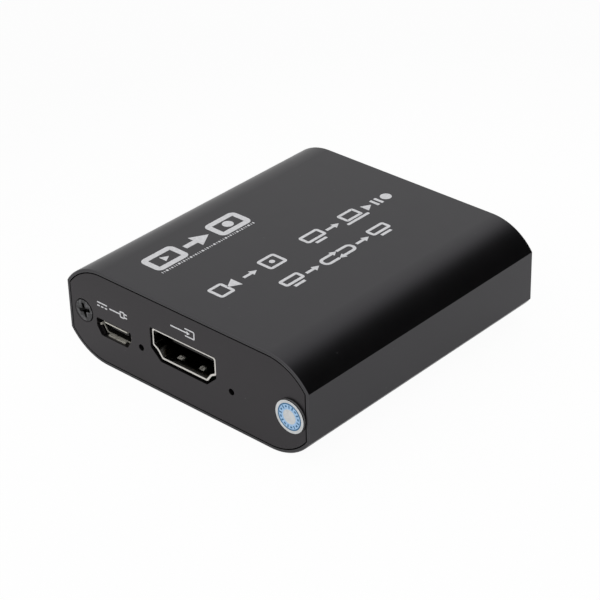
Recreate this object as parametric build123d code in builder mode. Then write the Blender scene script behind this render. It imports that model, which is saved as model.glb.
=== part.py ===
from build123d import *

import os
from math import radians, sqrt, tan

# A video capture box: a black aluminium sleeve, closed by two screwed end panels, round one circuit
# board with four sockets. Millimetres: x across the box, y from the front panel to the rear panel,
# z up. The origin is in the middle of the flat base.

# Driving dimensions of the box
width = 55.0
depth = 57.6
height = 18.4
band_height = 9.3  # the upright flat of each side, between its two long creases
corner_radius = 10.4  # the four long arcs from the flats to the creases
wall = 1.2
panel_thickness = 1.5

# Driving dimensions of what the box holds: each mouth is measured at the middle of its sheet
board_thickness = 1.6
board_top = 6.0
screw_inset = 3.75  # from the side band to the axis of each panel screw
video_wide = 14.3
video_tall = 5.0
video_sheet = 0.35
power_wide = 7.15
power_tall = 2.1
power_sheet = 0.25
data_wide = 12.8
data_tall = 5.4
data_sheet = 0.3
data_flare = 0.4  # how far its lips spread
light_hole_diameter = 1.2

fit_gap = 0.15  # round each moulding in its shell

front_face = Plane(origin=(0, -depth / 2, 0), x_dir=(1, 0, 0), z_dir=(0, -1, 0))
rear_face = Plane(origin=(0, depth / 2, 0), x_dir=(-1, 0, 0), z_dir=(0, 1, 0))
board_bottom = board_top - board_thickness
parts = {}


# Outline of the sleeve: flat top and base, long arcs that end in a crease, upright side bands
crease_height = (height - band_height) / 2
arc_width = sqrt(2 * corner_radius * crease_height - crease_height**2)
flat_end = width / 2 - arc_width


def sleeve_outline(inset):
    """The outline of the sleeve's end, moved in by inset, drawn upright from the base."""
    side = width / 2 - inset
    low = corner_radius - sqrt((corner_radius - inset) ** 2 - (arc_width - inset) ** 2)
    with BuildSketch() as outline:
        with BuildLine():
            Line((0, inset), (flat_end, inset))
            TangentArc((flat_end, inset), (side, low), tangent=(1, 0))
            Line((side, low), (side, height - low))
            TangentArc((flat_end, height - inset), (side, height - low), tangent=(1, 0))
            Line((flat_end, height - inset), (0, height - inset))
            mirror(about=Plane.YZ)
        make_face()
    return outline.sketch


def half_width_at(level, inset):
    """Half the width inside the lower arcs at a height, with the outline moved in by inset."""
    reach = sqrt((corner_radius - inset) ** 2 - (corner_radius - level) ** 2)
    return min(width / 2 - inset, flat_end + reach)


# Panel screw: a blunt thread-forming screw with a flat countersunk head and a cross recess
screw_x = width / 2 - screw_inset
screw_z = height / 2
screw_diameter = 2.3
screw_length = 6.0
head_diameter = 4.1
head_angle = 90  # degrees, across the cone
recess_width = 0.65
recess_span = 2.9
recess_depth = 0.85
recess_floor = 1.2  # the arms of the cross slope in to this span
cone_slope = tan(radians(head_angle / 2))
cone_height = (head_diameter - screw_diameter) / 2 / cone_slope

with BuildPart() as panel_screw:
    with BuildSketch(Plane.XZ):
        with BuildLine():
            Polyline(
                (0, 0),
                (head_diameter / 2, 0),
                (screw_diameter / 2, -cone_height),
                (screw_diameter / 2, -screw_length),
                (0, -screw_length),
                close=True,
            )
        make_face()
    revolve(axis=Axis.Z)
    for plane in (Plane.XZ, Plane.YZ):
        with BuildSketch(plane):
            with BuildLine():
                Polyline(
                    (-recess_span / 2, 0),
                    (recess_span / 2, 0),
                    (recess_floor / 2, -recess_depth),
                    (-recess_floor / 2, -recess_depth),
                    close=True,
                )
            make_face()
        extrude(amount=recess_width / 2, both=True, mode=Mode.SUBTRACT)


# Rows across the panels: the width that the cut-outs leave between the countersinks goes into gaps
countersink_gap = 0.2
countersink_radius = head_diameter / 2 + countersink_gap
video_cutout_gap = 0.2
video_cutout_width = video_wide + video_sheet + 2 * video_cutout_gap
power_cutout_gap = 0.45
power_cutout_width = power_wide + power_sheet + 2 * power_cutout_gap
data_cutout_gap = 0.35
data_cutout_width = data_wide + data_sheet + 2 * (data_flare + data_cutout_gap)
front_gap_shares = (0.0464, 0.1043, 0.1, 0.158)  # from the left, and the last gap takes the rest
rear_gap_shares = (0.1648, 0.6498)


def row_middles(cutout_widths, gap_shares):
    """The middles of a row of cut-outs, which starts at the left countersink."""
    edge = countersink_radius - screw_x
    free_width = -2 * edge - sum(cutout_widths)
    middles = []
    for cutout_width, gap_share in zip(cutout_widths, gap_shares):
        edge += free_width * gap_share
        middles.append(edge + cutout_width / 2)
        edge += cutout_width
    return middles


front_row = (power_cutout_width, light_hole_diameter, video_cutout_width, light_hole_diameter)
power_x, power_light_x, video_in_x, signal_light_x = row_middles(front_row, front_gap_shares)
data_x, video_out_x = row_middles((data_cutout_width, video_cutout_width), rear_gap_shares)


# Sleeve: an extrusion with board rails and C-shaped screw channels, its ends milled for the panels
lip = 0.6  # what is left of the wall round each panel
rim_bevel = 0.15
rail_height = 0.8
rail_grip = 1.2  # how far the rails reach over the board's edge
channel_wall = 0.75
channel_gap = 0.05  # between the screw and its channel
channel_slot = 1.2
web_height = 2.4
board_face_gap = 0.1
board_side_gap = 0.3
board_half = half_width_at(board_bottom, wall) - board_side_gap
channel_bore = screw_diameter / 2 + channel_gap
channel_radius = channel_bore + channel_wall

with BuildSketch() as ring:
    add(sleeve_outline(0))
    add(sleeve_outline(wall), mode=Mode.SUBTRACT)

with BuildPart() as sleeve_housing:
    with BuildSketch(front_face):
        rails_height = board_thickness + 2 * (board_face_gap + rail_height)
        with Locations((width / 2, board_bottom - board_face_gap - rail_height)):
            Rectangle(width / 2 - board_half + rail_grip, rails_height, align=(Align.MAX, Align.MIN))
        with Locations((screw_x, screw_z)):
            Circle(channel_radius)
            Rectangle(screw_inset, web_height, align=(Align.MIN, Align.CENTER))
        mirror(about=Plane.YZ)
        add(sleeve_outline(wall / 2), mode=Mode.INTERSECT)
        add(ring.sketch)
        with Locations((0, board_bottom - board_face_gap)):
            Rectangle(
                2 * (board_half + board_side_gap),
                board_thickness + 2 * board_face_gap,
                align=(Align.CENTER, Align.MIN),
                mode=Mode.SUBTRACT,
            )
        with Locations((screw_x, screw_z), (-screw_x, screw_z)):
            Circle(channel_bore, mode=Mode.SUBTRACT)
        with Locations((0, screw_z)):
            Rectangle(2 * screw_x, channel_slot, mode=Mode.SUBTRACT)
    extrude(amount=-depth)
    for face in (front_face, rear_face):
        with BuildSketch(face):
            add(sleeve_outline(lip))
        extrude(amount=-panel_thickness, mode=Mode.SUBTRACT)
    ends = sleeve_housing.faces().filter_by(Axis.Y).sort_by(Axis.Y)
    chamfer(ends[0].outer_wire().edges() + ends[-1].outer_wire().edges(), rim_bevel)
parts["sleeve_housing"] = sleeve_housing.part


# Folded sheet metal of the socket shells
spring_slit = 0.2  # the gap cut round three sides of each spring leaf


def wall_plane(seat, across, up, back, inward):
    """A plane in the middle of a shell's sheet: its x runs towards the mouth, its y inwards."""
    origin = seat.from_local_coords((across, up, -back))
    return Plane(origin=origin, x_dir=seat.z_dir, z_dir=seat.z_dir.cross(inward))


def side_plane(seat, across):
    """An upright plane through a socket: its x runs back from the mouth, its y up."""
    origin = seat.from_local_coords((across, 0, 0))
    return Plane(origin=origin, x_dir=-seat.z_dir, z_dir=seat.x_dir)


def bent_tab(root, path, tab_width, sheet):
    """Adds a strip of the sheet that follows path, given as (towards the mouth, inwards)."""
    inner = [(along, rise + sheet / 2) for along, rise in path]
    outer = [(along, rise - sheet / 2) for along, rise in reversed(path)]
    with BuildSketch(root) as strip:
        with BuildLine():
            Polyline(*inner, *outer, close=True)
        make_face()
    extrude(strip.sketch, amount=tab_width / 2, both=True)


def spring_leaf(root, length, rise, leaf_width, sheet):
    """Slits a leaf free in a shell's wall and bends it inwards, with its tip turned back."""
    crest_share, tip_share, hold_share = 0.7, 0.35, 0.2
    with BuildSketch(root) as slit:
        Rectangle(length + spring_slit, 2 * sheet, align=(Align.MIN, Align.CENTER))
    extrude(slit.sketch, amount=leaf_width / 2 + spring_slit, both=True, mode=Mode.SUBTRACT)
    path = [(-length * hold_share, 0), (0, 0), (length * crest_share, rise), (length, rise * tip_share)]
    bent_tab(root, path, leaf_width, sheet)


def contact_strips(seat, places, strip, front, back, level, floor, tail):
    """Adds bent contact strips: a level run, and a tail that slants down to the board behind it."""
    strip_width, strip_thickness = strip
    with BuildSketch(*[side_plane(seat, across) for across in places]) as strips:
        with BuildLine():
            Polyline(
                (front, level),
                (back, level),
                (back + tail - strip_thickness, floor),
                (back + tail, floor),
                (back + strip_thickness, level + strip_thickness),
                (front, level + strip_thickness),
                close=True,
            )
        make_face()
    extrude(strips.sketch, amount=strip_width / 2, both=True)


# Video sockets: 19 contacts on a tongue in a shell with a wide top and a stepped, narrower bottom
video_recess = 0.3  # behind the face of the panel
video_rise = 3.5  # from the board to the middle of the mouth
video_side_share = 0.61  # how far down the upright sides go
video_shoulder_inset = 1.05  # from the side to the lower end of the shoulder
video_shoulder_share = 0.73
video_bottom_inset = 2.05
video_top_radius = 0.6
video_side_radius = 0.5
video_shoulder_radius = 1.2
video_bottom_radius = 0.4
video_length = 11.0
video_block_front = 8.6
video_tongue_recess = 2.5
video_tongue_inset = 2.0  # from the side to the tongue
video_tongue_thickness = 1.2
video_tongue_rise = 0.2
video_foot_depth = 1.4
video_foot_inset = 0.65
video_foot_rise = 1.9  # above the middle of the mouth
video_spacing = 1.0  # from contact to contact
video_top_contacts = 10
video_strip = (0.28, 0.12)
video_strip_inset = 0.4
video_tail = 1.1
video_tail_gap = 0.1
video_leg_width = 1.5
video_leg_backs = (3.2, 9.0)
video_leg_past = 0.7  # below the board
video_leaf_rise = 0.45
video_leaf_length = 4.2
video_leaf_width = 1.1
video_leaf_tip = 1.3  # from the mouth to the leaf's tip
video_bottom_leaf_x = 2.5
video_top_leaf_x = 3.4


def mouth(face, across, up, recess):
    """The plane of a socket's mouth, set back from an end face of the box."""
    origin = face.from_local_coords((across, up, -recess))
    return Plane(origin=origin, x_dir=face.x_dir, z_dir=face.z_dir)


def slanted_outline(corners, radii, growth):
    """An outline from the corners of its right half, moved out by growth, and sharp without radii."""
    with BuildSketch() as outline:
        with BuildLine():
            if radii:
                FilletPolyline(*corners, radius=radii)
            else:
                Polyline(*corners)
            mirror(about=Plane.YZ)
        make_face()
        if growth:
            offset(amount=growth, kind=Kind.INTERSECTION)
    return outline.sketch


def video_outline(growth, folded=True):
    """The outline of a video socket at the middle of its sheet, moved out by growth."""
    corners = [
        (0, video_tall / 2),
        (video_wide / 2, video_tall / 2),
        (video_wide / 2, video_tall / 2 - video_tall * video_side_share),
        (video_wide / 2 - video_shoulder_inset, video_tall / 2 - video_tall * video_shoulder_share),
        (video_wide / 2 - video_bottom_inset, -video_tall / 2),
        (0, -video_tall / 2),
    ]
    radii = [video_top_radius, video_side_radius, video_shoulder_radius, video_bottom_radius]
    return slanted_outline(corners, radii if folded else [], growth)


def leg_plates(half_width, backs, leg_width, bottom, sheet):
    """Adds the plates that go down from a shell's upright sides and through the board."""
    for back in backs:
        with Locations((half_width, 0, -back), (-half_width, 0, -back)):
            Box(sheet, -bottom, leg_width, align=(Align.CENTER, Align.MAX, Align.CENTER))


def video_shell(seat):
    """One folded shell, with four spring leaves and four legs."""
    with BuildPart(seat) as shell:
        with BuildSketch(seat):
            add(video_outline(video_sheet / 2))
            add(video_outline(-video_sheet / 2), mode=Mode.SUBTRACT)
        extrude(amount=-video_length)
        root = video_leaf_tip + video_leaf_length
        leaf = (video_leaf_length, video_leaf_rise, video_leaf_width, video_sheet)
        for side in (-1, 1):
            low = (side * video_bottom_leaf_x, -video_tall / 2, root)
            spring_leaf(wall_plane(seat, *low, seat.y_dir), *leaf)
            high = (side * video_top_leaf_x, video_tall / 2, root)
            spring_leaf(wall_plane(seat, *high, -seat.y_dir), *leaf)
        bottom = -video_rise - board_thickness - video_leg_past
        leg_plates(video_wide / 2, video_leg_backs, video_leg_width, bottom, video_sheet)
    return shell.part


def video_contacts(seat):
    """Ten strips above the tongue and nine between them below it."""
    back = video_length + video_foot_depth + video_tail_gap
    front = video_tongue_recess + video_strip_inset
    top_level = video_tongue_rise + video_tongue_thickness / 2
    low_level = video_tongue_rise - video_tongue_thickness / 2 - video_strip[1]
    middle = (video_top_contacts - 1) / 2
    top_places = [(n - middle) * video_spacing for n in range(video_top_contacts)]
    low_places = [across + video_spacing / 2 for across in top_places[:-1]]
    with BuildPart() as contacts:
        for places, level in ((top_places, top_level), (low_places, low_level)):
            contact_strips(seat, places, video_strip, front, back, level, -video_rise, video_tail)
    return contacts.part


def video_insulator(seat, contacts):
    """The moulding that fills the back of the shell, with the tongue and a foot on the board."""
    with BuildPart() as insulator:
        with BuildSketch(seat.offset(-video_block_front)):
            add(video_outline(-video_sheet / 2 - fit_gap, folded=False))
        extrude(amount=video_block_front - video_length)
        with BuildSketch(seat.offset(-video_length)):
            with Locations((0, -video_rise)):
                foot_height = video_rise + video_foot_rise
                foot_width = video_wide - 2 * video_foot_inset
                Rectangle(foot_width, foot_height, align=(Align.CENTER, Align.MIN))
        extrude(amount=-video_foot_depth)
        with BuildSketch(seat.offset(-video_tongue_recess)):
            with Locations((0, video_tongue_rise)):
                Rectangle(video_wide - 2 * video_tongue_inset, video_tongue_thickness)
        extrude(amount=video_tongue_recess - video_block_front)
        add(contacts, mode=Mode.SUBTRACT)
    return insulator.part


video_in_seat = mouth(front_face, video_in_x, board_top + video_rise, video_recess)
video_out_seat = mouth(rear_face, -video_out_x, board_top + video_rise, video_recess)
for name, seat in (("video_in", video_in_seat), ("video_out", video_out_seat)):
    contacts = video_contacts(seat)
    parts[name + "_shell"] = video_shell(seat)
    parts[name + "_contacts"] = contacts
    parts[name + "_insulator"] = video_insulator(seat, contacts)


# Flared mouths of the power and data sockets
def flared_lips(seat, lips, length, flare, sheet):
    """Adds lips that spread from the tube's front edge, given as (across, up, inward, width)."""
    hold_share = 0.3
    for across, up, inward, lip_width in lips:
        root = wall_plane(seat, across, up, length, inward)
        bent_tab(root, [(-length * hold_share, 0), (0, 0), (length, -flare)], lip_width, sheet)


# Power socket: five contacts on a small tongue, in a low shell with its corners cut off below
power_recess = 0.5
power_side_share = 0.4
power_bottom_inset = 0.775
power_radius = 0.35
power_rise = power_tall / 2 + power_sheet / 2
power_length = 5.0
power_lip_length = 0.6
power_flare = 0.15
power_lip_share = 0.82  # of the flat that carries the lip
power_block_front = 3.6
power_tongue_recess = 1.0
power_tongue_inset = 1.575
power_tongue_thickness = 0.6
power_tongue_rise = 0.1
power_foot_depth = 0.6
power_spacing = 0.65
power_contact_count = 5
power_strip = (0.3, 0.12)
power_tail = 0.9
power_leg_width = 1.0
power_leg_backs = (3.4,)
power_leg_past = 0.5


def power_outline(growth, folded=True):
    """The outline of the power socket at the middle of its sheet, moved out by growth."""
    corners = [
        (0, power_tall / 2),
        (power_wide / 2, power_tall / 2),
        (power_wide / 2, power_tall / 2 - power_tall * power_side_share),
        (power_wide / 2 - power_bottom_inset, -power_tall / 2),
        (0, -power_tall / 2),
    ]
    return slanted_outline(corners, [power_radius] * 3 if folded else [], growth)


power_seat = mouth(front_face, power_x, board_top + power_rise, power_recess)
with BuildPart(power_seat) as power_socket_shell:
    with BuildSketch(power_seat.offset(-power_lip_length)):
        add(power_outline(power_sheet / 2))
        add(power_outline(-power_sheet / 2), mode=Mode.SUBTRACT)
    extrude(amount=power_lip_length - power_length)
    flank_width = (power_tall * power_side_share - power_radius) * power_lip_share
    flank_up = power_tall / 2 - power_radius - flank_width / 2
    top_width = (power_wide - 2 * power_radius) * power_lip_share
    bottom_width = (power_wide - 2 * (power_bottom_inset + power_radius)) * power_lip_share
    lips = [
        (0, power_tall / 2, -power_seat.y_dir, top_width),
        (0, -power_tall / 2, power_seat.y_dir, bottom_width),
        (power_wide / 2, flank_up, -power_seat.x_dir, flank_width),
        (-power_wide / 2, flank_up, power_seat.x_dir, flank_width),
    ]
    flared_lips(power_seat, lips, power_lip_length, power_flare, power_sheet)
    power_leg_bottom = -power_rise - board_thickness - power_leg_past
    leg_plates(power_wide / 2, power_leg_backs, power_leg_width, power_leg_bottom, power_sheet)
parts["power_socket_shell"] = power_socket_shell.part

with BuildPart() as power_socket_contacts:
    middle = (power_contact_count - 1) / 2
    places = [(n - middle) * power_spacing for n in range(power_contact_count)]
    level = power_tongue_rise + power_tongue_thickness / 2
    front = power_tongue_recess + power_strip[1]
    back = power_length + power_foot_depth + power_strip[1]
    contact_strips(power_seat, places, power_strip, front, back, level, -power_rise, power_tail)
parts["power_socket_contacts"] = power_socket_contacts.part

with BuildPart() as power_socket_insulator:
    with BuildSketch(power_seat.offset(-power_block_front)):
        add(power_outline(-power_sheet / 2 - fit_gap, folded=False))
    extrude(amount=power_block_front - power_length - power_foot_depth)
    with BuildSketch(power_seat.offset(-power_tongue_recess)):
        with Locations((0, power_tongue_rise)):
            Rectangle(power_wide - 2 * power_tongue_inset, power_tongue_thickness)
    extrude(amount=power_tongue_recess - power_block_front)
    add(power_socket_contacts.part, mode=Mode.SUBTRACT)
parts["power_socket_insulator"] = power_socket_insulator.part


# Data socket: a full-size flat socket with four contacts under its tongue
data_recess = 0.4
data_radius = 0.5
data_rise = data_tall / 2 + data_sheet / 2
data_length = 14.0
data_lip_length = 0.8
data_lip_share = 0.88
data_block_front = 10.6
data_tongue_recess = 1.2
data_tongue_inset = 0.85
data_tongue_thickness = 1.84
data_tongue_rise = 1.05
data_foot_depth = 1.0
data_contact_places = (-3.5, -1.0, 1.0, 3.5)
data_strip = (0.9, 0.25)
data_tail = 1.2
data_leg_width = 1.8
data_leg_backs = (5.2, 11.0)
data_leg_past = 0.8
data_leaf_length = 5.0
data_leaf_rise = 0.45
data_leaf_width = 2.0
data_leaf_tip = 1.8
data_leaf_x = 3.1

data_corners = [
    (0, data_tall / 2),
    (data_wide / 2, data_tall / 2),
    (data_wide / 2, -data_tall / 2),
    (0, -data_tall / 2),
]
data_radii = [data_radius, data_radius]
data_seat = mouth(rear_face, -data_x, board_top + data_rise, data_recess)
with BuildPart(data_seat) as data_socket_shell:
    with BuildSketch(data_seat.offset(-data_lip_length)):
        add(slanted_outline(data_corners, data_radii, data_sheet / 2))
        add(slanted_outline(data_corners, data_radii, -data_sheet / 2), mode=Mode.SUBTRACT)
    extrude(amount=data_lip_length - data_length)
    data_top_width = (data_wide - 2 * data_radius) * data_lip_share
    data_flank_width = (data_tall - 2 * data_radius) * data_lip_share
    lips = [
        (0, data_tall / 2, -data_seat.y_dir, data_top_width),
        (0, -data_tall / 2, data_seat.y_dir, data_top_width),
        (data_wide / 2, 0, -data_seat.x_dir, data_flank_width),
        (-data_wide / 2, 0, data_seat.x_dir, data_flank_width),
    ]
    flared_lips(data_seat, lips, data_lip_length, data_flare, data_sheet)
    data_root = data_leaf_tip + data_leaf_length
    data_leaf = (data_leaf_length, data_leaf_rise, data_leaf_width, data_sheet)
    for side in (-1, 1):
        low = (side * data_leaf_x, -data_tall / 2, data_root)
        spring_leaf(wall_plane(data_seat, *low, data_seat.y_dir), *data_leaf)
        high = (side * data_leaf_x, data_tall / 2, data_root)
        spring_leaf(wall_plane(data_seat, *high, -data_seat.y_dir), *data_leaf)
    data_leg_bottom = -data_rise - board_thickness - data_leg_past
    leg_plates(data_wide / 2, data_leg_backs, data_leg_width, data_leg_bottom, data_sheet)
parts["data_socket_shell"] = data_socket_shell.part

with BuildPart() as data_socket_contacts:
    level = data_tongue_rise - data_tongue_thickness / 2 - data_strip[1]
    front = data_tongue_recess + data_strip[1]
    back = data_length + data_foot_depth + data_strip[1]
    contact_strips(data_seat, data_contact_places, data_strip, front, back, level, -data_rise, data_tail)
parts["data_socket_contacts"] = data_socket_contacts.part

with BuildPart() as data_socket_insulator:
    with BuildSketch(data_seat.offset(-data_block_front)):
        add(slanted_outline(data_corners, [], -data_sheet / 2 - fit_gap))
    extrude(amount=data_block_front - data_length - data_foot_depth)
    with BuildSketch(data_seat.offset(-data_tongue_recess)):
        with Locations((0, data_tongue_rise)):
            Rectangle(data_wide - 2 * data_tongue_inset, data_tongue_thickness)
    extrude(amount=data_tongue_recess - data_block_front)
    add(data_socket_contacts.part, mode=Mode.SUBTRACT)
parts["data_socket_insulator"] = data_socket_insulator.part


# Status lights: side-facing lamps on the board's front edge, each behind a small hole in the panel
light_rise = 1.3  # from the board to the middle of the hole
light_body_width = 2.2
light_body_depth = 1.4
light_body_above = 0.7  # above the middle of the lens
light_lens_width = 1.3
light_lens_height = 0.8
light_lens_reach = 0.5
light_setback = 0.8  # from the inner face of the panel to the lamp's body


def status_light(across):
    """One lamp: a small moulded body with an oblong lens that faces the panel."""
    seat = mouth(front_face, across, board_top + light_rise, panel_thickness + light_setback)
    with BuildPart(seat) as light:
        with BuildSketch(seat):
            with Locations((0, -light_rise)):
                body_height = light_rise + light_body_above
                Rectangle(light_body_width, body_height, align=(Align.CENTER, Align.MIN))
        extrude(amount=-light_body_depth)
        with BuildSketch(seat):
            Rectangle(light_lens_width, light_lens_height)
        extrude(amount=light_lens_reach)
    return light.part


parts["power_light"] = status_light(power_light_x)
parts["signal_light"] = status_light(signal_light_x)


# End panels: flat plates in the milled ends, with countersunk holes and the socket cut-outs
seam = 0.2  # between each panel and the lip round it
screw_hole_gap = 0.15
cutout_radius = 0.35
video_cutout_top_gap = 0.12
video_cutout_bottom_gap = 0.45
video_cutout_side_share = 0.66
video_cutout_inset = 2.2  # from its side to the lower end of its slant
power_cutout_side_share = 0.5
power_cutout_inset = 1.0
power_cutout_up = 0.3  # its middle is this far above the middle of the socket


def plain_cutout(cutout_width, top, bottom, side_share, inset):
    """A six-sided cut-out from bottom to top, with its lower corners cut off."""
    corners = [
        (0, top),
        (cutout_width / 2, top),
        (cutout_width / 2, top - (top - bottom) * side_share),
        (cutout_width / 2 - inset, bottom),
        (0, bottom),
    ]
    return slanted_outline(corners, [cutout_radius] * 3, 0)


video_reach = (video_tall + video_sheet) / 2
video_cutout = plain_cutout(
    video_cutout_width,
    video_reach + video_cutout_top_gap,
    -video_reach - video_cutout_bottom_gap,
    video_cutout_side_share,
    video_cutout_inset,
)
power_reach = (power_tall + power_sheet) / 2 + power_cutout_gap
power_cutout = plain_cutout(
    power_cutout_width,
    power_cutout_up + power_reach,
    power_cutout_up - power_reach,
    power_cutout_side_share,
    power_cutout_inset,
)


def panel_screw_holes():
    """Cuts the two countersunk holes of a panel."""
    with Locations((screw_x, screw_z), (-screw_x, screw_z)):
        CounterSinkHole(
            radius=screw_diameter / 2 + screw_hole_gap,
            counter_sink_radius=countersink_radius,
            depth=panel_thickness,
            counter_sink_angle=head_angle,
        )


with BuildPart(front_face) as front_panel:
    with BuildSketch(front_face):
        add(sleeve_outline(lip + seam))
        with Locations((video_in_x, board_top + video_rise)):
            add(video_cutout, mode=Mode.SUBTRACT)
        with Locations((power_x, board_top + power_rise)):
            add(power_cutout, mode=Mode.SUBTRACT)
        light_z = board_top + light_rise
        with Locations((power_light_x, light_z), (signal_light_x, light_z)):
            Circle(light_hole_diameter / 2, mode=Mode.SUBTRACT)
    extrude(amount=-panel_thickness)
    panel_screw_holes()
parts["front_panel"] = front_panel.part

with BuildPart(rear_face) as rear_panel:
    with BuildSketch(rear_face):
        add(sleeve_outline(lip + seam))
        with Locations((-video_out_x, board_top + video_rise)):
            add(video_cutout, mode=Mode.SUBTRACT)
        with Locations((-data_x, board_top + data_rise)):
            growth = data_sheet / 2 + data_flare + data_cutout_gap
            add(slanted_outline(data_corners, data_radii, growth), mode=Mode.SUBTRACT)
    extrude(amount=-panel_thickness)
    panel_screw_holes()
parts["rear_panel"] = rear_panel.part

screw_turns = {"front_panel_screws": (14, 55), "rear_panel_screws": (35, 80)}  # degrees, left first

for name, face in (("front_panel_screws", front_face), ("rear_panel_screws", rear_face)):
    with BuildPart(face) as screws:
        for across, turn in zip((-screw_x, screw_x), screw_turns[name]):
            with Locations(Location((across, screw_z, 0), (0, 0, turn))):
                add(panel_screw.part)
    parts[name] = screws.part


# Seal sticker: a thick round label over the right screw of the front panel
sticker_diameter = 6.0
sticker_thickness = 0.45
sticker_drop = 0.75  # its middle is below the screw

with BuildPart(front_face) as seal_sticker:
    with BuildSketch(front_face):
        with Locations((screw_x, screw_z - sticker_drop)):
            Circle(sticker_diameter / 2)
    extrude(amount=sticker_thickness)
parts["seal_sticker"] = seal_sticker.part


# Circuit board: it slides in the sleeve's rails and ends just inside both panels
board_end_gap = 0.2
leg_hole_gap = 0.15
board_length = depth - 2 * (panel_thickness + board_end_gap)


def leg_holes(seat, half_width, backs, leg_width, sheet):
    """Cuts the slots that a shell's legs pass through."""
    for back in backs:
        for side in (-1, 1):
            place = seat.from_local_coords((side * half_width, 0, -back))
            with Locations((place.X, place.Y)):
                Rectangle(sheet + 2 * leg_hole_gap, leg_width + 2 * leg_hole_gap, mode=Mode.SUBTRACT)


with BuildPart() as circuit_board:
    with BuildSketch(Plane.XY.offset(board_bottom)):
        Rectangle(2 * board_half, board_length)
        for seat in (video_in_seat, video_out_seat):
            leg_holes(seat, video_wide / 2, video_leg_backs, video_leg_width, video_sheet)
        leg_holes(power_seat, power_wide / 2, power_leg_backs, power_leg_width, power_sheet)
        leg_holes(data_seat, data_wide / 2, data_leg_backs, data_leg_width, data_sheet)
    extrude(amount=board_thickness)
parts["circuit_board"] = circuit_board.part


# Chips and regulators: moulded bodies a little above the board on bent legs. The capture chip has
# only pads under it, so its body lies flat.
clear_half = screw_x - channel_radius  # half the board's width between the two screw channels
chip_standoff = 0.1
chip_bevel_share = 0.2  # of the body's height
leg_exit_share = 0.5  # of the body's height


def board_place(shares):
    """A point on the board, as shares of its clear half width and of its half length."""
    return shares[0] * clear_half, shares[1] * board_length / 2


def moulded_body(place, body, standoff=chip_standoff):
    """A body with bevelled top edges, at a place on the board and above it by standoff."""
    length, breadth, thickness = body
    with BuildSketch(Plane(origin=(*place, board_top + standoff))) as footprint:
        Rectangle(length, breadth)
    solid = extrude(footprint.sketch, amount=thickness)
    chamfer(solid.faces().sort_by(Axis.Z)[-1].edges(), thickness * chip_bevel_share)


def bent_legs(places, outward, leg, exit_height):
    """Adds legs at places on a body's side: each leaves it level and slants down to the board."""
    leg_width, leg_reach, leg_sheet = leg
    drop = leg_reach / 2
    across = outward.cross(Vector(0, 0, 1))
    planes = [Plane(origin=(*place, board_top), x_dir=outward, z_dir=across) for place in places]
    with BuildSketch(*planes) as legs:
        with BuildLine():
            Polyline(
                (-leg_sheet, exit_height),
                (drop, exit_height),
                (leg_reach, 0),
                (leg_reach - leg_sheet, 0),
                (drop - leg_sheet, exit_height - leg_sheet),
                (-leg_sheet, exit_height - leg_sheet),
                close=True,
            )
        make_face()
    extrude(legs.sketch, amount=leg_width / 2, both=True)


def side_places(place, half, count, spacing, outward):
    """Evenly spaced points along one side of a body, at a distance of half from its middle."""
    x, y = place
    steps = [(n - (count - 1) / 2) * spacing for n in range(count)]
    return [(x + outward.X * half + outward.Y * s, y + outward.Y * half + outward.X * s) for s in steps]


splitter_body = (7.0, 7.0, 1.4)
splitter_leg = (0.35, 1.0, 0.15)
splitter_side_count = 8
splitter_spacing = 0.8
splitter_place_shares = (0, -0.02)
capture_body = (7.0, 7.0, 0.9)
capture_place_shares = (-0.53, 0.13)
memory_body = (4.9, 3.9, 1.4)
memory_leg = (0.4, 1.0, 0.2)
memory_side_count = 4
memory_spacing = 1.27
memory_place_shares = (0.43, 0.11)
four_ways = [Vector(1, 0, 0), Vector(-1, 0, 0), Vector(0, 1, 0), Vector(0, -1, 0)]

with BuildPart() as splitter_chip:
    splitter_place = board_place(splitter_place_shares)
    moulded_body(splitter_place, splitter_body)
    for outward in four_ways:
        half = splitter_body[0] / 2
        places = side_places(splitter_place, half, splitter_side_count, splitter_spacing, outward)
        bent_legs(places, outward, splitter_leg, chip_standoff + splitter_body[2] * leg_exit_share)
parts["splitter_chip"] = splitter_chip.part

with BuildPart() as capture_chip:
    moulded_body(board_place(capture_place_shares), capture_body, 0)
parts["capture_chip"] = capture_chip.part

with BuildPart() as memory_chip:
    memory_place = board_place(memory_place_shares)
    moulded_body(memory_place, memory_body)
    for outward in four_ways[2:]:
        half = memory_body[1] / 2
        places = side_places(memory_place, half, memory_side_count, memory_spacing, outward)
        bent_legs(places, outward, memory_leg, chip_standoff + memory_body[2] * leg_exit_share)
parts["memory_chip"] = memory_chip.part

regulator_place_shares = [(0.785, 0.11), (0.785, -0.26)]
regulator_body = (6.5, 3.5, 1.6)
regulator_leg = (0.7, 1.6, 0.25)
regulator_leg_count = 3
regulator_spacing = 2.3
regulator_tab_width = 3.0

with BuildPart() as voltage_regulators:
    regulator_exit = chip_standoff + regulator_body[2] * leg_exit_share
    for place in [board_place(shares) for shares in regulator_place_shares]:
        moulded_body(place, regulator_body)
        far, near = four_ways[2:]
        half = regulator_body[1] / 2
        near_places = side_places(place, half, regulator_leg_count, regulator_spacing, near)
        bent_legs(near_places, near, regulator_leg, regulator_exit)
        tab = (regulator_tab_width, *regulator_leg[1:])
        bent_legs(side_places(place, half, 1, 0, far), far, tab, regulator_exit)
parts["voltage_regulators"] = voltage_regulators.part


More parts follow.
